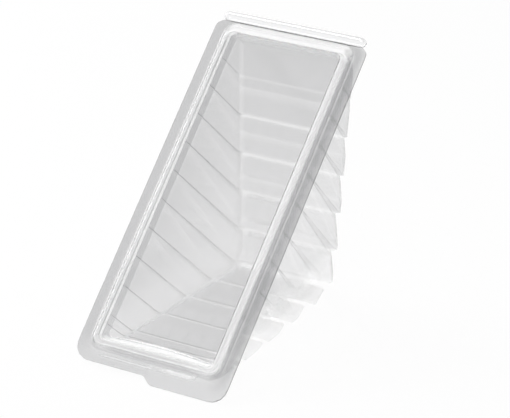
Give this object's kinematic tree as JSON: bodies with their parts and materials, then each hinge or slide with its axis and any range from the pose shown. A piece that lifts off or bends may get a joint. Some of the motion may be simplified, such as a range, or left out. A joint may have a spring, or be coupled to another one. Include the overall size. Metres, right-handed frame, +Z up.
{
  "type": "sandwich wedge pack",
  "caption": "Clear hinged wedge pack for a half sandwich: fluted one-piece tray with a lid that snaps over its rim and opens at a fold along the top.",
  "frame": {"origin": "centre of the bounding box, at the surface the pack stands on", "axes": "+Z up, +X across the pack to its right seen from the lid, -Y to the front, where the lid faces"},
  "size_m": [0.078, 0.1346, 0.1271],
  "materials": {
    "tray_sheet": "clear, glossy thermoformed sheet",
    "lid_sheet": "clear, glossy thermoformed sheet"
  },
  "bodies": {
    "tray_body": {"tray": "tray_sheet"},
    "lid_body": {"lid": "lid_sheet"}
  },
  "joints": [
    {"name": "lid_fold", "type": "hinge", "parent": "tray_body", "child": "lid_body", "pos_m": [0, 0.06566, 0.12631], "axis": [-1, 0, 0], "range_deg": [0, 180]}
  ]
}
